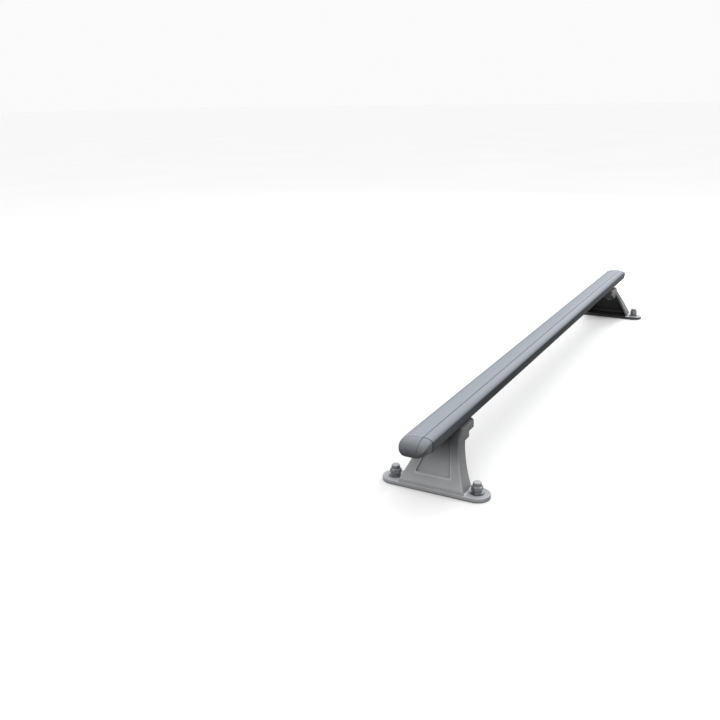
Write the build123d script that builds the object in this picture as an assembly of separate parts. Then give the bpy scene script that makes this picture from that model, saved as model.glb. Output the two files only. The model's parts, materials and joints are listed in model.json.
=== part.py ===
from build123d import *
import math
import os

# Roof rack crossbar: a hollow aluminium bar on two cast feet that bolt to a vehicle's roof.
# Millimetres. X runs along the bar, Y along the vehicle and Z up. The origin lies midway
# between the feet, on the plane that their rubber pads stand on. Front is the -Y side.

# Whole crossbar: the bar runs past the studs by the same overhang at each end
foot_spacing = 1050.0
bar_overhang = 59.0
bolt_pitch = 125.0
underside_height = 81.0

# Bar section: a low elliptical dome over upright flanks
bar_width = 44.0
dome_rise = 8.0
flank_height = 14.5
lower_corner = 5.5
bar_wall = 2.0
web_wall = 1.8

# Groove pressed along the front half of the dome, and wider down over the end caps
groove_inset = 13.5
groove_width = 1.0
groove_depth = 0.8
cap_groove_width = 1.5

# Pair of slots along the underside, which hold the heads of the clamp bolts
slot_offset = 12.0
slot_mouth = 6.8
slot_lip = 2.4
slot_width = 10.8
slot_height = 5.0

# End caps: seen from above the nose is nearly square, and from the side the dome curves
# down to a flat underside. At the tip the lower corner takes up most of the flank's height.
cap_length = 26.0
cap_inset = 0.7
nose_plan_power = 4.0
nose_side_power = 2.2
nose_corner_share = 0.85
nose_stations = (0.0, 0.25, 0.45, 0.62, 0.76, 0.87, 0.94, 0.98, 0.996)
tongue_length = 16.0
tongue_clearance = 0.25

# Foot: base flange and rubber pad
pad_thickness = 1.5
flange_thickness = 5.0
base_width = 38.0
pad_margin = 0.6
base_edge_radius = 1.2

# Foot: arm that leans inboard under the bar, measured from the base's centre. Its outboard
# face starts with a low upright band.
arm_root_clearance = 1.75
arm_root_inset = 0.8
arm_root_rise = 5.2
arm_waist_half = 36.8
arm_waist_height = 39.5
arm_top_half = 25.0
arm_outboard_mid = (1.0, 42.5)
arm_outboard_top = 35.0
arm_inboard_root = 10.5
arm_inboard_mid = (23.8, 42.5)
arm_inboard_top = 48.0
arm_inner_radius = 11.0
arm_edge_radius = 3.0
arm_wall = 5.0
web_thickness = 6.0

# Foot: shallow panel sunk into the outboard face
panel_low = 24.5
panel_high = 70.5
panel_low_half = 27.0
panel_mid_half = 19.4
panel_top_half = 11.5
panel_depth = 2.6
panel_corner = 2.5

# Foot: saddle flange under the bar, with a thick boss round the clamp bolts
saddle_thickness = 11.0
saddle_end = 84.0
saddle_corner = 6.0
saddle_edge_radius = 1.2
boss_thickness = 9.0
boss_end = 64.0
boss_corner = 3.0

# Gasket between the saddle and the bar, and the running clearance above it
gasket_thickness = 1.2
gasket_margin = 1.5
running_clearance = 0.3

# Clamp bolts, M6, with their heads in the slots
clamp_inboard = 48.0
clamp_diameter = 6.0
clamp_hole = 6.6
clamp_length = 30.0
clamp_head_flats = 10.0
clamp_head_height = 4.0
clamp_washer_diameter = 13.0
clamp_washer_thickness = 1.6
clamp_nut_height = 5.6
clamp_nut_flange = 13.0
clamp_nut_flange_height = 1.4
bolt_chamfer = 0.8

# Roof studs, M8, with washer, spring washer, nut and cap
# The studs' rolled threads stand above a plain shank. The roof's nuts aren't part of the
# crossbar, so the roof end has the full diameter, and the rest has the shank's.
stud_diameter = 8.0
stud_shank = 7.3
stud_hole = 8.8
stud_reach = 12.0
stud_chamfer = 0.8
washer_diameter = 19.8
washer_bore = 8.6
washer_thickness = 2.4
spring_washer_diameter = 14.8
spring_washer_thickness = 1.6
spring_washer_gap = 1.4
nut_flats = 14.5
nut_height = 7.4
nut_chamfer = 1.1
nut_face_inset = 0.3
cap_foot_diameter = 12.8
cap_head_diameter = 11.4
stud_cap_height = 5.8
stud_cap_cover = 1.6
stud_cap_edge = 1.1
thread_fit = 0.05

# How far a cutting shape runs past the faces that it cuts
overcut = 5.0

# Heights and places worked out from the sizes above
bar_length = foot_spacing + 2 * bar_overhang
arm_root_half = (bolt_pitch - washer_diameter) / 2 - arm_root_clearance
arm_reach = base_width / 2 + saddle_end + overcut
base_top = pad_thickness + flange_thickness
stud_nut_low = base_top + washer_thickness + spring_washer_thickness
crease_height = underside_height + flank_height
bar_top = crease_height + dome_rise
arm_root_x = -base_width / 2 + arm_root_inset
arm_root_top = base_top + arm_root_rise
saddle_top = underside_height - running_clearance - gasket_thickness
saddle_low = saddle_top - saddle_thickness
boss_low = saddle_low - boss_thickness
bar_half = bar_width / 2
slot_floor = underside_height + slot_lip
slot_roof = slot_floor + slot_height
web_inner = slot_offset - slot_width / 2 - web_wall
stud_ends = (("front", -bolt_pitch / 2), ("rear", bolt_pitch / 2))
clamp_sides = (("front", -slot_offset), ("rear", slot_offset))
foot_sides = (("left", -foot_spacing / 2, 0), ("right", foot_spacing / 2, 180))


def section_plane(x, height):
    """Plane across the bar at x and at a height: its own x and y run along the model's Y and Z."""
    return Plane(origin=(x, 0, height), x_dir=(0, 1, 0), z_dir=(1, 0, 0))


def bar_outline(x, inset=0.0, across=1.0, upward=1.0, softening=0.0):
    """Outer section of the bar at x, drawn in by inset and then scaled from its underside.

    The softening, from 0 to 1, brings the lower corners to their share of the flank's height.
    """
    half = (bar_half - inset) * across
    side = (flank_height - inset) * upward
    rise = (dome_rise - inset) * upward
    corner = (lower_corner - inset) * upward
    corner += (nose_corner_share * side - corner) * softening
    edges = [
        Line((half, side), (half, 0)),
        Line((half, 0), (-half, 0)),
        Line((-half, 0), (-half, side)),
        EllipticalCenterArc((0, side), half, rise, arc_size=180),
    ]
    outline = make_face(edges)
    corners = outline.vertices().sort_by(Axis.Y)[:2]
    outline = fillet(corners, corner)
    return section_plane(x, underside_height + inset) * outline


def box(low, high):
    """Box between two opposite corners."""
    size = [b - a for a, b in zip(low, high)]
    middle = [(a + b) / 2 for a, b in zip(low, high)]
    return Pos(*middle) * Box(*size)


def bar_hollows(length, clearance=0.0):
    """The three chambers inside the bar: one between the webs and one above each slot."""
    inner = extrude(bar_outline(-length / 2, inset=bar_wall + clearance), length)
    edge = length / 2
    low = underside_height + bar_wall + clearance
    middle_half = web_inner - clearance
    middle = inner & box((-edge, -middle_half, low), (edge, middle_half, bar_top))
    sides = []
    for side in (-1, 1):
        near_web = side * (web_inner + web_wall + clearance)
        flank = side * bar_half
        low_corner = (-edge, min(near_web, flank), slot_roof + web_wall + clearance)
        high_corner = (edge, max(near_web, flank), bar_top)
        sides.append(inner & box(low_corner, high_corner))
    return middle, sides


def make_bar():
    """Extruded bar with its chambers, its two bolt slots and the groove along the dome."""
    bar = extrude(bar_outline(-bar_length / 2), bar_length)
    middle, sides = bar_hollows(bar_length)
    bar = bar - middle - sides[0] - sides[1]
    edge = bar_length / 2
    for _, y in clamp_sides:
        mouth_half = slot_mouth / 2
        mouth_low = underside_height - overcut
        mouth = box((-edge, y - mouth_half, mouth_low), (edge, y + mouth_half, slot_floor))
        chamber = box((-edge, y - slot_width / 2, slot_floor), (edge, y + slot_width / 2, slot_roof))
        bar = bar - mouth - chamber
    under_groove = extrude(bar_outline(-edge, inset=groove_depth), bar_length)
    return bar - (groove_slab(edge + overcut, underside_height, groove_width) - under_groove)


def groove_slab(reach, low, width):
    """Thin upright slab over the groove's line, from a height up past the dome."""
    y = -bar_half + groove_inset
    return box((-reach, y - width / 2, low), (reach, y + width / 2, bar_top + overcut))


def nose(inset):
    """Bullnose end, from the bar's right end outwards, drawn in by inset."""
    sections = []
    for share in nose_stations:
        x = bar_length / 2 + share * (cap_length - inset)
        across = (1 - share ** nose_plan_power) ** (1 / nose_plan_power)
        upward = (1 - share ** nose_side_power) ** (1 / nose_side_power)
        sections.append(bar_outline(x, inset, across, upward, share))
    return loft(sections)


def make_cap():
    """End cap at the bar's right end: a bullnose with three tongues that plug the chambers."""
    end = bar_length / 2
    slab = groove_slab(end + cap_length + overcut, underside_height + flank_height / 2, cap_groove_width)
    body = nose(cap_inset) - (slab - nose(cap_inset + groove_depth))
    reach = box((end - tongue_length, -bar_half, 0), (end, bar_half, bar_top))
    middle, sides = bar_hollows(bar_length, tongue_clearance)
    for plug in (middle, sides[0], sides[1]):
        body = body + (plug & reach)
    return body


def foot_side_outline():
    """Side view of the arm, in the XZ plane, with +X inboard."""
    edges = [
        Line((arm_root_x, base_top), (arm_root_x, arm_root_top)),
        ThreePointArc((arm_root_x, arm_root_top), arm_outboard_mid, (arm_outboard_top, saddle_top)),
        Line((arm_outboard_top, saddle_top), (saddle_end, saddle_top)),
        Line((saddle_end, saddle_top), (saddle_end, saddle_low)),
        Line((saddle_end, saddle_low), (arm_inboard_top, saddle_low)),
        ThreePointArc((arm_inboard_top, saddle_low), arm_inboard_mid, (arm_inboard_root, base_top)),
        Line((arm_inboard_root, base_top), (arm_root_x, base_top)),
    ]
    outline = make_face(edges)
    inner = outline.vertices().filter_by(lambda v: abs(v.X - arm_inboard_top) < 1e-6)
    return fillet(inner, arm_inner_radius)


def outboard_band(start, stop):
    """Side view of a layer under the outboard face, from start to stop millimetres inboard of it."""
    edges = []
    for shift in (start, stop):
        low = (arm_root_x + shift, arm_root_top)
        middle = (arm_outboard_mid[0] + shift, arm_outboard_mid[1])
        high = (arm_outboard_top + shift, saddle_top)
        edges.append(ThreePointArc(low, middle, high))
        edges.append(Line((arm_root_x + shift, base_top), low))
    edges.append(Line((arm_outboard_top + start, saddle_top), (arm_outboard_top + stop, saddle_top)))
    edges.append(Line((arm_root_x + stop, base_top), (arm_root_x + start, base_top)))
    return make_face(edges)


def side_prism(outline, half):
    """Side outline carried half to the front and half to the rear."""
    return extrude(Plane.XZ * outline, half, both=True)


def arm_front_outline(inset):
    """Front view of the arm, in the YZ plane, with curved flanks that draw in upwards."""
    root_half = arm_root_half - inset
    waist_half = arm_waist_half - inset
    top_half = arm_top_half - inset
    edges = [Line((-root_half, base_top), (root_half, base_top))]
    for side in (1, -1):
        root = (side * root_half, base_top)
        waist = (side * waist_half, arm_waist_height)
        top = (side * top_half, saddle_low)
        edges.append(ThreePointArc(root, waist, top))
        edges.append(Line(top, (side * top_half, saddle_top)))
    edges.append(Line((-top_half, saddle_top), (top_half, saddle_top)))
    return make_face(edges)


def front_prism(outline):
    """Front outline carried along X past the arm both ways."""
    return extrude(Plane.YZ * outline, arm_reach, both=True)


def panel_outline():
    """Front view of the sunk panel."""
    middle_height = (panel_low + panel_high) / 2
    edges = [
        Line((-panel_low_half, panel_low), (panel_low_half, panel_low)),
        Line((-panel_top_half, panel_high), (panel_top_half, panel_high)),
    ]
    for side in (1, -1):
        low = (side * panel_low_half, panel_low)
        middle = (side * panel_mid_half, middle_height)
        high = (side * panel_top_half, panel_high)
        edges.append(ThreePointArc(low, middle, high))
    outline = make_face(edges)
    return fillet(outline.vertices(), panel_corner)


def stadium(width, low, high):
    """Rounded-end plate, centred on the two studs."""
    return Pos(0, 0, low) * extrude(Rot(0, 0, 90) * SlotCenterToCenter(bolt_pitch, width), high - low)


def upright(x, y, low, high, diameter):
    """Upright cylinder between two heights."""
    return Pos(x, y, (low + high) / 2) * Cylinder(diameter / 2, high - low)


def soften(arm):
    """Rounds the two ridges beside the outboard face, and the rim of the saddle."""
    outboard = arm.faces().filter_by(GeomType.CYLINDER).sort_by(Axis.X)[0]
    band = arm.faces().filter_by(Axis.X).sort_by(Axis.X)[0]
    ridges = [e for e in outboard.edges() + band.edges() if abs(e.center().Y) > arm_edge_radius]
    arm = fillet(ridges, arm_edge_radius)
    top = arm.faces().sort_by(Axis.Z)[-1]
    rim = [e for e in top.edges() if e.center().X > arm_outboard_top + arm_edge_radius]
    return fillet(rim, saddle_edge_radius)


def make_foot():
    """Cast foot, with +X inboard and its base centred on the origin."""
    arm = side_prism(foot_side_outline(), arm_root_half) & front_prism(arm_front_outline(0))
    inboard = side_prism(outboard_band(web_thickness, arm_reach), arm_root_half)
    under_saddle = box((-arm_reach, -arm_root_half, base_top), (arm_reach, arm_root_half, saddle_low))
    hollow = inboard & front_prism(arm_front_outline(arm_wall)) & under_saddle
    arm = arm - hollow
    end_corners = arm.edges().filter_by(Axis.Z).group_by(Axis.X)[-1]
    arm = soften(fillet(end_corners, saddle_corner))
    boss = box((0, -arm_top_half, boss_low), (boss_end, arm_top_half, saddle_low))
    boss = fillet(boss.edges().filter_by(Axis.Z).group_by(Axis.X)[-1], boss_corner)
    boss = boss & side_prism(outboard_band(web_thickness / 2, arm_reach), arm_root_half)
    panel = front_prism(panel_outline()) & side_prism(outboard_band(-overcut, panel_depth), arm_root_half)
    flange = stadium(base_width, pad_thickness, base_top)
    flange = fillet(flange.edges().group_by(Axis.Z)[-1], base_edge_radius)
    foot = flange + arm + boss - panel
    for _, y in stud_ends:
        foot = foot - upright(0, y, -overcut, base_top + overcut, stud_hole)
    for _, y in clamp_sides:
        foot = foot - upright(clamp_inboard, y, boss_low - overcut, saddle_top + overcut, clamp_hole)
    return foot


def make_pad():
    """Rubber pad under the base flange."""
    pad = stadium(base_width - 2 * pad_margin, 0, pad_thickness)
    for _, y in stud_ends:
        pad = pad - upright(0, y, -overcut, pad_thickness + overcut, stud_hole)
    return pad


def make_gasket():
    """Thin rubber sheet on top of the saddle."""
    low = (arm_outboard_top + gasket_margin, -arm_top_half + gasket_margin, saddle_top)
    high = (saddle_end - gasket_margin, arm_top_half - gasket_margin, saddle_top + gasket_thickness)
    gasket = box(low, high)
    gasket = fillet(gasket.edges().filter_by(Axis.Z).group_by(Axis.X)[-1], saddle_corner - gasket_margin)
    for _, y in clamp_sides:
        high = saddle_top + gasket_thickness + overcut
        gasket = gasket - upright(clamp_inboard, y, saddle_top - overcut, high, clamp_hole)
    return gasket


def hexagon(x, y, low, high, flats):
    """Upright hexagonal prism, by its width across flats."""
    return Pos(x, y, low) * extrude(RegularPolygon(flats / 2, 6, major_radius=False), high - low)


def rounded_hexagon(x, y, low, high, flats, depth, both_ends):
    """Hexagonal prism whose corners are turned down at the top, or at both ends."""
    corner = flats / math.cos(math.pi / 6)
    height = high - low
    face_radius = flats / 2 - nut_face_inset
    points = [(0, 0), (corner / 2, 0), (corner / 2, height - depth), (face_radius, height), (0, height)]
    if both_ends:
        points[1:2] = [(face_radius, 0), (corner / 2, depth)]
    turned = revolve(Plane.XZ * make_face(Polyline(*points, close=True)), Axis.Z)
    return hexagon(x, y, low, high, flats) & (Pos(x, y, low) * turned)


def make_clamp_bolt(y):
    """Hexagon-head bolt that hangs in a slot, with its shank down through the saddle."""
    head_low = slot_floor + running_clearance / 2
    shank_low = head_low - clamp_length
    head = hexagon(clamp_inboard, y, head_low, head_low + clamp_head_height, clamp_head_flats)
    shank = upright(clamp_inboard, y, shank_low, head_low, clamp_diameter)
    shank = chamfer(shank.edges().group_by(Axis.Z)[0], bolt_chamfer)
    return head + shank


def ring(x, y, low, high, outer, inner):
    """Flat ring between two heights."""
    return upright(x, y, low, high, outer) - upright(x, y, low - overcut, high + overcut, inner)


def make_clamp_washer(y):
    """Plain washer under the boss."""
    low = boss_low - clamp_washer_thickness
    return ring(clamp_inboard, y, low, boss_low, clamp_washer_diameter, clamp_hole)


def make_clamp_nut(y):
    """Flanged nut under the washer, with its flange uppermost."""
    high = boss_low - clamp_washer_thickness
    low = high - clamp_nut_height
    flange_low = high - clamp_nut_flange_height
    body = hexagon(clamp_inboard, y, low, flange_low, clamp_head_flats)
    skirt = upright(clamp_inboard, y, flange_low, high, clamp_nut_flange)
    bore = upright(clamp_inboard, y, low - overcut, high + overcut, clamp_diameter + 2 * thread_fit)
    return body + skirt - bore


def make_stud(y):
    """Roof stud: its thicker end stands out below the pad, and its top ends inside the cap."""
    high = stud_nut_low + nut_height + stud_cap_height - stud_cap_cover - thread_fit
    roof_end = upright(0, y, -stud_reach, 0, stud_diameter)
    roof_end = chamfer(roof_end.edges().group_by(Axis.Z)[0], stud_chamfer)
    shank = upright(0, y, 0, high, stud_shank)
    return roof_end + chamfer(shank.edges().group_by(Axis.Z)[-1], stud_chamfer)


def make_washer(y):
    """Large plain washer on the base flange."""
    return ring(0, y, base_top, base_top + washer_thickness, washer_diameter, washer_bore)


def make_spring_washer(y):
    """Split spring washer, cut open on its inboard side."""
    low = base_top + washer_thickness
    high = low + spring_washer_thickness
    washer = ring(0, y, low, high, spring_washer_diameter, washer_bore)
    cut = Pos(spring_washer_diameter / 2, y, (low + high) / 2) * Rot(20, 0, 0)
    return washer - cut * Box(spring_washer_diameter, spring_washer_gap, 4 * spring_washer_thickness)


def make_nut(y):
    """Hexagon nut on the roof stud."""
    high = stud_nut_low + nut_height
    nut = rounded_hexagon(0, y, stud_nut_low, high, nut_flats, nut_chamfer, True)
    return nut - upright(0, y, stud_nut_low - overcut, high + overcut, stud_shank + 2 * thread_fit)


def make_stud_cap(y):
    """Tapered cap pressed over the end of the stud."""
    low = stud_nut_low + nut_height
    taper = Cone(cap_foot_diameter / 2, cap_head_diameter / 2, stud_cap_height)
    cap = Pos(0, y, low + stud_cap_height / 2) * taper
    cap = chamfer(cap.edges().group_by(Axis.Z)[-1], stud_cap_edge)
    bore_high = low + stud_cap_height - stud_cap_cover
    return cap - upright(0, y, low - overcut, bore_high, stud_shank + 2 * thread_fit)


def write(shape, name):
    """One STEP file for one piece."""
    export_step(shape, f"parts/{name}.step")


os.makedirs("parts", exist_ok=True)
write(make_bar(), "bar")
right_cap = make_cap()
write(right_cap, "right_end_cap")
write(mirror(right_cap, Plane.YZ), "left_end_cap")
foot_pieces = [("foot", make_foot()), ("base_pad", make_pad()), ("saddle_gasket", make_gasket())]
for end, y in stud_ends:
    foot_pieces.append((f"{end}_roof_stud", make_stud(y)))
    foot_pieces.append((f"{end}_washer", make_washer(y)))
    foot_pieces.append((f"{end}_spring_washer", make_spring_washer(y)))
    foot_pieces.append((f"{end}_nut", make_nut(y)))
    foot_pieces.append((f"{end}_stud_cap", make_stud_cap(y)))
for end, y in clamp_sides:
    foot_pieces.append((f"{end}_clamp_bolt", make_clamp_bolt(y)))
    foot_pieces.append((f"{end}_clamp_washer", make_clamp_washer(y)))
    foot_pieces.append((f"{end}_clamp_nut", make_clamp_nut(y)))
for side, x, turn in foot_sides:
    for name, piece in foot_pieces:
        write(Pos(x, 0, 0) * Rot(0, 0, turn) * piece, f"{side}_{name}")
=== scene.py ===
import json
import math
import bmesh
import bpy
from mathutils import Matrix, Vector


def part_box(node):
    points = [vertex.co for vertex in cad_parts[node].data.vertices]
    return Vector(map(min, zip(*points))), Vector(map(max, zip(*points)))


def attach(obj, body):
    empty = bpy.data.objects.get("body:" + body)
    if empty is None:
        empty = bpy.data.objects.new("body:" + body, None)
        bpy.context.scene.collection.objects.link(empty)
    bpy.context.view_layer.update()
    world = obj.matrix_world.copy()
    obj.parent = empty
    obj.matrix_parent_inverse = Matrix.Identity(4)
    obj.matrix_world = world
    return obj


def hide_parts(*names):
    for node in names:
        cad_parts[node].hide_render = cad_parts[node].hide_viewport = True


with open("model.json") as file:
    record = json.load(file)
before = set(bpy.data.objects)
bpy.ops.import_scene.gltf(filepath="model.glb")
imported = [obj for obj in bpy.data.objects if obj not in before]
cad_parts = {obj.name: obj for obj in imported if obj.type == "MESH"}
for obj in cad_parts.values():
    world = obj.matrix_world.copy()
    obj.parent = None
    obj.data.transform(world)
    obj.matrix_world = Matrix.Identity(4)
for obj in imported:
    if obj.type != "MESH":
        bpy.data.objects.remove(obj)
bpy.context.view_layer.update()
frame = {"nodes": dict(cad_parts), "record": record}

# Roof rack crossbar on its two cast feet: finishes, threads, floor, lights and camera.
# Metres. X runs along the bar, Y along the vehicle and Z up, as in the CAD frame.

nodes = frame["nodes"]
record = frame["record"]
scene = bpy.context.scene
slot_of = {part["node"]: part["material_slot"] for part in record["subparts"]}
body_of = {
    node: body
    for body, members in record["behaviour"]["bodies"].items()
    for node in members
}

# Camera, worked out from the studs and edges seen in the photograph
camera_place = Vector((-1.4798, -0.4177, 0.5293))
camera_yaw = math.radians(29.325)
camera_pitch = math.radians(17.996)
camera_roll = math.radians(1.085)
camera_lens = 40.556
camera_clip = (0.05, 200)
sensor_width = 36.0

# Studio sky: brightness by height, from the horizon at 0 to straight above at 1
sky_bands = ((0.0, 0.66), (0.20, 0.66), (0.34, 0.38), (0.58, 0.42), (0.80, 1.0))
sky_strength = 1.45

# Soft square lights: place, point that they face, side length, power in watts and colour
soft_lights = {
    "key": ((-2.4, -0.9, 1.7), (-0.3, 0, 0.05), 1.2, 12, (1.0, 0.99, 0.97)),
    "behind": ((2.3, -0.1, 1.25), (0.3, 0, 0.1), 0.9, 24, (0.94, 0.97, 1.0)),
    "front": ((1.1, -2.2, 2.1), (0.3, 0, 0.1), 1.2, 20, (0.97, 0.98, 1.0)),
}

# Floor, at the height of the rubber pads' underside
floor_height = 0.0
floor_half = 40.0

# Threads: M8 on the roof studs, M6 on the clamp bolts. The flanks' slope and offset leave a
# seventh of the pitch flat on the crests and at the roots.
stud_pitch = 0.00125
stud_chamfer = 0.0008
bolt_pitch = 0.001
bolt_radius = 0.003
bolt_thread_length = 0.018
bolt_head_height = 0.004
bolt_head_flats = 0.010
bolt_head_chamfer = 0.0007
shank_in_head = 0.0005
thread_depth_share = 0.61
thread_flank_slope = 1.4
thread_flank_offset = 0.2
thread_sides = 36
rows_per_turn = 8

# Where the bar's coat changes: distance from mid length on the flanks, which are painted darker in
# the middle and lighter towards the ends as painted light, and Y at a cut end, from which rearward
# the end face gets a painted highlight
flank_middle = (0.36, 0.46)
flank_middle_gain = 0.8
flank_end = (0.36, 0.56)
flank_end_gain = 2.2
cut_end_rear = (-0.012, -0.006)

# Where painted light and shade on the feet's coat change: the bar's painted shadow, painted shade
# on the arm's sides, in corners, on the inboard faces and in the hollow, and painted highlights on
# the sunk panel's rim and along the arm's root.
# Heights, and distances from the crossbar's middle at the floor, which shrink with height. A taper
# or a lean is what is lost over slope_height.
slope_height = 0.100
arm_taper = 0.042
arm_lean = 0.0876
arm_side = (0.0488, 0.0500)
arm_web = (0.5440, 0.5454)
flange_top = (0.0065, 0.0090)
hollow_gain = 0.06
panel_taper = 0.0337
panel_side = (0.0352, 0.0366)
panel_side_rise = (0.0238, 0.0640)
panel_sill = (0.0228, 0.0246)
panel_sill_end = (0.0354, 0.0358)
panel_rim_highlight_gain = 1.35
root_bevel = (0.0066, 0.0090)
root_bevel_highlight_gain = 4.2
rim_blur = 0.0003
bar_shade = (0.014, 0.064)
bar_shade_gain = 0.24
end_face_shadow_heights = (0.040, 0.070)
end_face_shadow_share = 0.80
side_gain = 0.66
corner_gain = 0.78
corner_reach = 0.010
corner_samples = 12

# Heights over which the bar's shade falls on the steel of the clamps
clamp_shade = (0.030, 0.045)
clamp_shade_gain = 0.25


def make_camera():
    """Camera at the photograph's viewing angle."""
    forward = Vector((
        math.cos(camera_yaw) * math.cos(camera_pitch),
        math.sin(camera_yaw) * math.cos(camera_pitch),
        -math.sin(camera_pitch),
    ))
    level_right = forward.cross(Vector((0, 0, 1))).normalized()
    level_up = level_right.cross(forward)
    right = level_right * math.cos(camera_roll) - level_up * math.sin(camera_roll)
    up = level_right * math.sin(camera_roll) + level_up * math.cos(camera_roll)
    turn = Matrix((right, up, -forward)).transposed()
    data = bpy.data.cameras.new("camera")
    data.lens = camera_lens
    data.sensor_width = sensor_width
    data.clip_start, data.clip_end = camera_clip
    camera = bpy.data.objects.new("camera", data)
    camera.matrix_world = Matrix.Translation(camera_place) @ turn.to_4x4()
    scene.collection.objects.link(camera)
    scene.camera = camera


def fill_ramp(node, stops):
    """Sets a colour ramp from pairs of a position and a colour in rising order."""
    elements = node.color_ramp.elements
    while len(elements) < len(stops):
        elements.new(1.0)
    for element, (position, tone) in zip(elements, stops):
        element.position = position
        element.color = (*tone, 1)


class Finish:
    """A node material under construction: one Principled shader and the nodes that feed it."""

    def __init__(self, name, **uniform):
        self.material = bpy.data.materials.new(name)
        self.material.use_nodes = True
        tree = self.material.node_tree
        self.nodes, self.links = tree.nodes, tree.links
        self.shader = self.nodes["Principled BSDF"]
        for socket, value in uniform.items():
            self.shader.inputs[socket.replace("_", " ")].default_value = value
        self.place = self.nodes.new("ShaderNodeTexCoord").outputs["Object"]
        self.normal = self.nodes.new("ShaderNodeNewGeometry").outputs["Normal"]
        self.relief = None

    def noise(self, scale, detail=3.0, roughness=0.5, stretch=(1, 1, 1)):
        """Noise over the object's own coordinates, drawn out along an axis by a small stretch."""
        mapping = self.nodes.new("ShaderNodeMapping")
        mapping.inputs["Scale"].default_value = stretch
        self.links.new(self.place, mapping.inputs["Vector"])
        noise = self.nodes.new("ShaderNodeTexNoise")
        noise.inputs["Scale"].default_value = scale
        noise.inputs["Detail"].default_value = detail
        noise.inputs["Roughness"].default_value = roughness
        self.links.new(mapping.outputs["Vector"], noise.inputs["Vector"])
        return noise.outputs["Fac"]

    def ramp(self, factor, *stops):
        """Colour by a factor, from pairs of a position and a colour in rising order."""
        node = self.nodes.new("ShaderNodeValToRGB")
        fill_ramp(node, stops)
        self.links.new(factor, node.inputs["Fac"])
        return node.outputs["Color"]

    def shelter(self, reach):
        """How open the surface is within a reach: near 0 in corners and 1 in the open."""
        node = self.nodes.new("ShaderNodeAmbientOcclusion")
        node.samples = corner_samples
        node.inputs["Distance"].default_value = reach
        return node.outputs["AO"]

    def number(self, operation, *operands):
        """Result of one arithmetic operation on linked numbers."""
        node = self.nodes.new("ShaderNodeMath")
        node.operation = operation
        for operand, socket in zip(operands, node.inputs):
            self.links.new(operand, socket)
        return node.outputs["Value"]

    def product(self, *factors):
        """Product of linked numbers."""
        total = factors[0]
        for factor in factors[1:]:
            total = self.number("MULTIPLY", total, factor)
        return total

    def component(self, vector, axis):
        """One component of a linked vector."""
        parts = self.nodes.new("ShaderNodeSeparateXYZ")
        self.links.new(vector, parts.inputs["Vector"])
        return parts.outputs[axis]

    def magnitude(self, vector, axis):
        """One component of a linked vector without its sign."""
        return self.number("ABSOLUTE", self.component(vector, axis))

    def facing(self):
        """How far the surface faces the sky: 0 for upright faces and 1 for level ones."""
        return self.component(self.normal, "Z")

    def endwise(self):
        """How far the surface faces along the bar, either way."""
        return self.magnitude(self.normal, "X")

    def spread(self, factor, low, high, start=0.3, stop=0.7):
        """A number that runs from low to high as the factor runs from start to stop."""
        spread = self.nodes.new("ShaderNodeMapRange")
        spread.inputs["From Min"].default_value = start
        spread.inputs["From Max"].default_value = stop
        spread.inputs["To Min"].default_value = low
        spread.inputs["To Max"].default_value = high
        self.links.new(factor, spread.inputs["Value"])
        return spread.outputs["Result"]

    def rising(self, source, start, stop):
        """0 up to start, and from there rising to 1 at stop."""
        return self.spread(source, 0.0, 1.0, start, stop)

    def falling(self, source, start, stop):
        """1 up to start, and from there falling to 0 at stop."""
        return self.spread(source, 1.0, 0.0, start, stop)

    def window(self, source, low, high):
        """1 between two limits, falling to 0 just beyond them."""
        rising = self.rising(source, low - rim_blur, low)
        return self.product(rising, self.falling(source, high, high + rim_blur))

    def towards(self, share, factor):
        """A factor of 1 where a share is 0, which reaches the given one where it is 1."""
        return self.spread(share, 1.0, factor, 0.0, 1.0)

    def rest_of(self, share):
        """What a share leaves of 1."""
        return self.towards(share, 0.0)

    def slanted(self, axis, height, lost):
        """Distance from the middle along an axis, with what a slope loses by this height added."""
        gain = self.spread(height, 0.0, lost, 0.0, slope_height)
        return self.number("ADD", self.magnitude(self.place, axis), gain)

    def hollow_side(self, height):
        """Factor of painted shade that leaves a foot's inboard faces and its hollow dark."""
        sign = self.number("SIGN", self.component(self.place, "X"))
        outward = self.product(sign, self.component(self.normal, "X"))
        across = self.slanted("Y", height, arm_taper)
        along = self.slanted("X", height, arm_lean)
        # Inboard faces past the arm's sides and above the flange top are painted less dark.
        rim = self.product(
            self.spread(across, 0.10, 0.60, *arm_side),
            self.spread(height, 0.2, 1.0, *flange_top),
        )
        inboard = self.falling(outward, -0.6, -0.2)
        faces = self.rest_of(self.product(inboard, self.rest_of(rim)))
        within = self.product(
            self.falling(across, *arm_side),
            self.falling(along, *arm_web),
            self.falling(outward, 0.05, 0.30),
        )
        return self.product(faces, self.towards(within, hollow_gain))

    def painted_rim_highlights(self, height):
        """Factor of painted highlights on the rim of a foot's sunk panel and on the bevel at the
        arm's root.
        """
        across = self.slanted("Y", height, panel_taper)
        sides = self.product(
            self.window(across, *panel_side),
            self.window(height, *panel_side_rise),
        )
        sill = self.product(
            self.window(height, *panel_sill),
            self.falling(across, *panel_sill_end),
        )
        end_faces = self.rising(self.endwise(), 0.4, 0.6)
        panel = self.product(self.number("MAXIMUM", sides, sill), end_faces)
        side_faces = self.rising(self.magnitude(self.normal, "Y"), 0.80, 0.90)
        root = self.product(self.window(height, *root_bevel), side_faces)
        return self.product(
            self.towards(panel, panel_rim_highlight_gain),
            self.towards(root, root_bevel_highlight_gain),
        )

    def clamp_dimming(self):
        """Factor that dims steel from the clamps' height up, in the shade of the bar."""
        height = self.component(self.place, "Z")
        return self.spread(height, 1.0, clamp_shade_gain, *clamp_shade)

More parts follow.
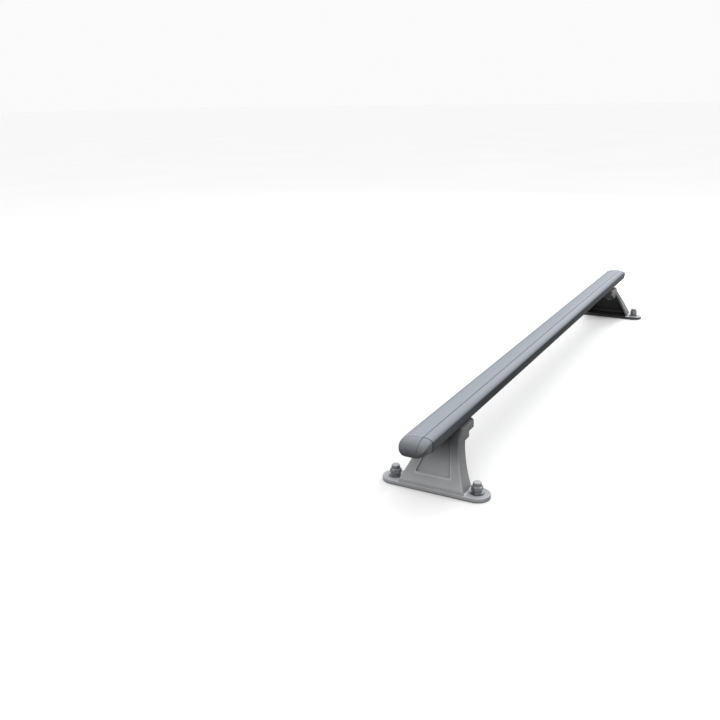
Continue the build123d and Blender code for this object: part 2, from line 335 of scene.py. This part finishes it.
    def scaled(self, source, factor):
        """A colour scaled by a factor."""
        scale = self.nodes.new("ShaderNodeVectorMath")
        scale.operation = "SCALE"
        self.links.new(source, scale.inputs["Vector"])
        self.links.new(factor, scale.inputs["Scale"])
        return scale.outputs["Vector"]

    def colour(self, source, patches=None, amount=0.0):
        """Base colour from a source, lighter and darker in patches by an amount."""
        if patches is not None:
            source = self.scaled(source, self.spread(patches, 1 - amount, 1 + amount))
        self.links.new(source, self.shader.inputs["Base Color"])

    def roughness(self, source):
        """Roughness from a linked number."""
        self.links.new(source, self.shader.inputs["Roughness"])

    def bump(self, source, distance):
        """One more layer of relief, as high as distance in metres."""
        bump = self.nodes.new("ShaderNodeBump")
        bump.inputs["Strength"].default_value = 1.0
        bump.inputs["Distance"].default_value = distance
        self.links.new(source, bump.inputs["Height"])
        if self.relief is not None:
            self.links.new(self.relief, bump.inputs["Normal"])
        self.relief = bump.outputs["Normal"]
        self.links.new(self.relief, self.shader.inputs["Normal"])
        return self


def bar_coat():
    """Satin coat over extruded aluminium: the dome painted pale and the flanks painted dark by how
    far they face the sky, the flanks painted lighter to the ends, and a painted highlight on the
    rear of each cut end.
    """
    finish = Finish("bar_coat", Specular_IOR_Level=0.012)
    lines = finish.noise(260, 4, 0.6, (0.01, 1, 1))
    grain = finish.noise(1400, 2, 0.6)
    # Painted highlight on the rear part of each cut end, where the surface faces along the bar.
    rear = finish.rising(finish.component(finish.place, "Y"), *cut_end_rear)
    cut_end = finish.product(finish.endwise(), rear)
    # Painted light and shade: upright faces dark and level ones pale.
    tone = finish.ramp(
        finish.number("MAXIMUM", finish.facing(), cut_end),
        (0.30, (0.018, 0.020, 0.022)),
        (0.45, (0.075, 0.081, 0.090)),
        (0.72, (0.165, 0.180, 0.200)),
        (0.92, (0.250, 0.270, 0.299)),
        (0.99, (0.312, 0.336, 0.371)),
    )
    # Painted light on the flanks: darker in the middle, lighter towards the ends.
    along = finish.magnitude(finish.place, "X")
    upright = finish.falling(finish.facing(), 0.25, 0.45)
    ends = finish.product(finish.rising(along, *flank_end), upright)
    middle = finish.product(finish.falling(along, *flank_middle), upright)
    flank_painted_light = finish.product(
        finish.towards(ends, flank_end_gain),
        finish.towards(middle, flank_middle_gain),
    )
    finish.colour(finish.scaled(tone, flank_painted_light), lines, 0.05)
    finish.roughness(finish.spread(lines, 0.34, 0.44))
    return finish.bump(lines, 0.00003).bump(grain, 0.00003).material


def cap_plastic():
    """Moulded plastic of the end caps, coloured to match the bar, with painted light: level faces
    pale and upright ones dark.
    """
    finish = Finish("cap_plastic", Specular_IOR_Level=0.2)
    cloud = finish.noise(45, 3)
    grain = finish.noise(1900, 2, 0.55)
    tone = finish.ramp(
        finish.facing(),
        (0.10, (0.028, 0.030, 0.032)),
        (0.40, (0.072, 0.077, 0.084)),
        (0.75, (0.140, 0.151, 0.166)),
        (0.99, (0.248, 0.270, 0.298)),
    )
    finish.colour(tone, cloud, 0.05)
    finish.roughness(finish.spread(cloud, 0.40, 0.50))
    return finish.bump(grain, 0.00005).material


def cast_coat():
    """Textured powder coat over the cast feet, with painted light: level faces painted lighter,
    painted shade where the bar and the arm shade it, in corners and on the inboard side, and
    painted highlights on the panel's rim and the arm's root.
    """
    finish = Finish("cast_coat")
    cloud = finish.noise(24, 4)
    pores = finish.noise(900, 3, 0.6)
    skin = finish.noise(180, 3, 0.6)
    # Painted light: level faces lighter than upright ones.
    tone = finish.ramp(
        finish.facing(),
        (0.00, (0.225, 0.230, 0.239)),
        (0.50, (0.280, 0.286, 0.296)),
        (0.95, (0.590, 0.606, 0.630)),
    )
    height = finish.component(finish.place, "Z")
    # Painted shadow of the bar on faces that face along it, deepening with height.
    bar_shadow_share = finish.product(finish.endwise(), finish.spread(height, 0.0, end_face_shadow_share, *end_face_shadow_heights))
    shade = finish.product(
        # Painted shadow of the bar, deepening with height.
        finish.spread(height, 1.0, bar_shade_gain, *bar_shade),
        finish.rest_of(bar_shadow_share),
        # Painted shade on faces that don't face along the bar.
        finish.spread(finish.endwise(), side_gain, 1.0, 0.30, 0.80),
        # Painted shade in corners.
        finish.spread(finish.shelter(corner_reach), corner_gain, 1.0, 0.40, 0.90),
        # Painted shade on the inboard side and in the hollow.
        finish.hollow_side(height),
        # Painted highlights on the panel's rim and the arm's root.
        finish.painted_rim_highlights(height),
    )
    finish.colour(finish.scaled(tone, shade), cloud, 0.07)
    finish.roughness(finish.spread(pores, 0.46, 0.60))
    return finish.bump(skin, 0.00012).bump(pores, 0.00006).material


def pad_rubber():
    """Matt black rubber, level faces painted a little lighter than upright ones."""
    finish = Finish("pad_rubber")
    cloud = finish.noise(60, 4)
    grain = finish.noise(1200, 2)
    tone = finish.ramp(finish.facing(), (0.0, (0.060, 0.061, 0.064)), (0.9, (0.080, 0.081, 0.084)))
    finish.colour(tone, cloud, 0.20)
    finish.roughness(finish.spread(cloud, 0.72, 0.86))
    return finish.bump(grain, 0.00005).material


def zinc_steel():
    """Dull zinc plate on the washers and studs, level faces painted lighter than upright ones, and
    painted shade of the bar from the clamps' height up.
    """
    finish = Finish("zinc_steel", Metallic=1.0)
    cloud = finish.noise(160, 4)
    grain = finish.noise(1500, 2)
    tone = finish.ramp(finish.facing(), (0.2, (0.170, 0.174, 0.184)), (0.9, (0.500, 0.516, 0.540)))
    finish.colour(finish.scaled(tone, finish.clamp_dimming()), cloud, 0.15)
    finish.roughness(finish.spread(grain, 0.34, 0.50))
    return finish.bump(grain, 0.00002).material


def black_steel():
    """Black-plated steel of the nuts and clamp bolts, level faces painted lighter than upright
    ones, and painted shade of the bar from the clamps' height up.
    """
    finish = Finish("black_steel", Metallic=0.6)
    cloud = finish.noise(140, 4)
    grain = finish.noise(1500, 2)
    tone = finish.ramp(finish.facing(), (0.2, (0.150, 0.154, 0.163)), (0.9, (0.330, 0.342, 0.360)))
    finish.colour(finish.scaled(tone, finish.clamp_dimming()), cloud, 0.20)
    finish.roughness(finish.spread(grain, 0.38, 0.52))
    return finish.bump(grain, 0.00002).material


def black_plastic():
    """Moulded plastic of the stud caps, level faces painted lighter than upright ones."""
    finish = Finish("black_plastic")
    cloud = finish.noise(120, 3)
    grain = finish.noise(2200, 2)
    tone = finish.ramp(finish.facing(), (0.2, (0.105, 0.109, 0.117)), (0.9, (0.420, 0.440, 0.465)))
    finish.colour(tone, cloud, 0.10)
    finish.roughness(finish.spread(cloud, 0.40, 0.50))
    return finish.bump(grain, 0.00003).material


def floor_paint():
    """Pale matt paint of the floor."""
    finish = Finish("floor_paint", Roughness=0.75)
    cloud = finish.noise(1.5, 3)
    finish.colour(finish.ramp(cloud, (0.3, (0.88, 0.88, 0.88)), (0.7, (0.90, 0.90, 0.90))))
    return finish.material


finishes = {
    "bar_coat": bar_coat(),
    "cap_plastic": cap_plastic(),
    "cast_coat": cast_coat(),
    "pad_rubber": pad_rubber(),
    "zinc_steel": zinc_steel(),
    "black_steel": black_steel(),
    "black_plastic": black_plastic(),
}


def dress(name):
    """Gives a carried-over node the finish of its slot."""
    slots = nodes[name].data.materials
    slots.clear()
    slots.append(finishes[slot_of[name]])


def thread_radius(radius, pitch, z, turn):
    """Radius of a thread at a height and at a share of a turn: flat crests, sloped flanks."""
    phase = (z / pitch - turn) % 1
    valley = thread_flank_slope * abs(2 * phase - 1) - thread_flank_offset
    return radius - thread_depth_share * pitch * min(max(valley, 0), 1)


def lathe(mesh, centre, rows):
    """Closed turned solid on an upright axis: each row has a height and a radius for each side."""
    rings = []
    for z, radii in rows:
        ring = []
        for side, radius in enumerate(radii):
            angle = 2 * math.pi * side / len(radii)
            place = (centre[0] + radius * math.cos(angle), centre[1] + radius * math.sin(angle), z)
            ring.append(mesh.verts.new(place))
        rings.append(ring)
    for lower, upper in zip(rings, rings[1:]):
        for side in range(len(lower)):
            after = (side + 1) % len(lower)
            mesh.faces.new((lower[side], lower[after], upper[after], upper[side]))
    mesh.faces.new(list(reversed(rings[0])))
    mesh.faces.new(rings[-1])


def plain_row(z, radius):
    """A round row of one radius."""
    return z, [radius] * thread_sides


def threaded_rows(low, high, radius, pitch):
    """Rows of a thread from a chamfered lower end up to high."""
    depth = thread_depth_share * pitch
    count = round((high - low) / pitch * rows_per_turn)
    rows = []
    for row in range(count + 1):
        z = low + (high - low) * row / count
        limit = radius - depth + (z - low)
        radii = []
        for side in range(thread_sides):
            turned = thread_radius(radius, pitch, z, side / thread_sides)
            radii.append(min(turned, limit))
        rows.append((z, radii))
    return rows


def hexagon_rows(low, high, flats, chamfer):
    """Rows of a hexagonal prism whose top corners are turned down."""
    def row(z, cap):
        radii = []
        for side in range(thread_sides):
            angle = (2 * math.pi * side / thread_sides) % (math.pi / 3) - math.pi / 6
            radii.append(min(flats / 2 / math.cos(angle), cap))
        return z, radii
    return [row(low, flats), row(high - chamfer, flats), row(high, flats / 2)]


def axis_of(low, high):
    """Place of the upright axis through the middle of a box."""
    return (low.x + high.x) / 2, (low.y + high.y) / 2


def add_piece(name, mesh, node):
    """Finished piece that stands for a CAD node, with that node's body and slot."""
    data = bpy.data.meshes.new(name)
    bmesh.ops.recalc_face_normals(mesh, faces=mesh.faces)
    mesh.to_mesh(data)
    mesh.free()
    data.materials.append(finishes[slot_of[node]])
    piece = bpy.data.objects.new(name, data)
    scene.collection.objects.link(piece)
    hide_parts(node)
    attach(piece, body_of[node])


def make_roof_stud(node):
    """Roof stud with a real thread on the end that stands out below the pad."""
    low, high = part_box(node)
    radius = (high.x - low.x) / 2
    shank = radius - thread_depth_share * stud_pitch / 2
    rows = threaded_rows(low.z, floor_height, radius, stud_pitch)
    rows.append(plain_row(floor_height, shank))
    rows.append(plain_row(high.z - stud_chamfer, shank))
    rows.append(plain_row(high.z, shank - stud_chamfer))
    mesh = bmesh.new()
    lathe(mesh, axis_of(low, high), rows)
    add_piece(f"{node}_threaded", mesh, node)


def make_clamp_bolt(node):
    """Clamp bolt with a turned-down head and a real thread through the nut."""
    low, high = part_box(node)
    centre = axis_of(low, high)
    head_low = high.z - bolt_head_height
    thread_high = low.z + bolt_thread_length
    rows = threaded_rows(low.z, thread_high, bolt_radius, bolt_pitch)
    rows.append(plain_row(thread_high, bolt_radius))
    rows.append(plain_row(head_low + shank_in_head, bolt_radius))
    mesh = bmesh.new()
    lathe(mesh, centre, rows)
    lathe(mesh, centre, hexagon_rows(head_low, high.z, bolt_head_flats, bolt_head_chamfer))
    add_piece(f"{node}_threaded", mesh, node)


def make_floor():
    """Wide pale floor."""
    mesh = bpy.data.meshes.new("floor")
    signs = ((-1, -1), (1, -1), (1, 1), (-1, 1))
    corners = [(x * floor_half, y * floor_half, floor_height) for x, y in signs]
    mesh.from_pydata(corners, [], [(0, 1, 2, 3)])
    mesh.materials.append(floor_paint())
    floor = bpy.data.objects.new("floor", mesh)
    scene.collection.objects.link(floor)


def area_light(name, place, target, size, power, colour):
    """Square soft light at place, turned to target."""
    data = bpy.data.lights.new(name, "AREA")
    data.size = size
    data.energy = power
    data.color = colour
    light = bpy.data.objects.new(name, data)
    light.location = place
    light.rotation_euler = (Vector(target) - Vector(place)).to_track_quat("-Z", "Y").to_euler()
    scene.collection.objects.link(light)


def make_sky():
    """Studio sky with a pale wall, a dimmer band above it and a bright ceiling."""
    world = bpy.data.worlds.new("world")
    world.use_nodes = True
    tree = world.node_tree
    place = tree.nodes.new("ShaderNodeTexCoord")
    height = tree.nodes.new("ShaderNodeSeparateXYZ")
    ramp = tree.nodes.new("ShaderNodeValToRGB")
    background = tree.nodes["Background"]
    fill_ramp(ramp, [(position, (level, level, level)) for position, level in sky_bands])
    tree.links.new(place.outputs["Generated"], height.inputs["Vector"])
    tree.links.new(height.outputs["Z"], ramp.inputs["Fac"])
    tree.links.new(ramp.outputs["Color"], background.inputs["Color"])
    background.inputs["Strength"].default_value = sky_strength
    scene.world = world


make_camera()
make_floor()
make_sky()
for light_name, light_facts in soft_lights.items():
    area_light(light_name, *light_facts)
for node_name in nodes:
    if node_name.endswith("roof_stud"):
        make_roof_stud(node_name)
    elif node_name.endswith("clamp_bolt"):
        make_clamp_bolt(node_name)
    else:
        dress(node_name)
scene.view_settings.view_transform = "Standard"
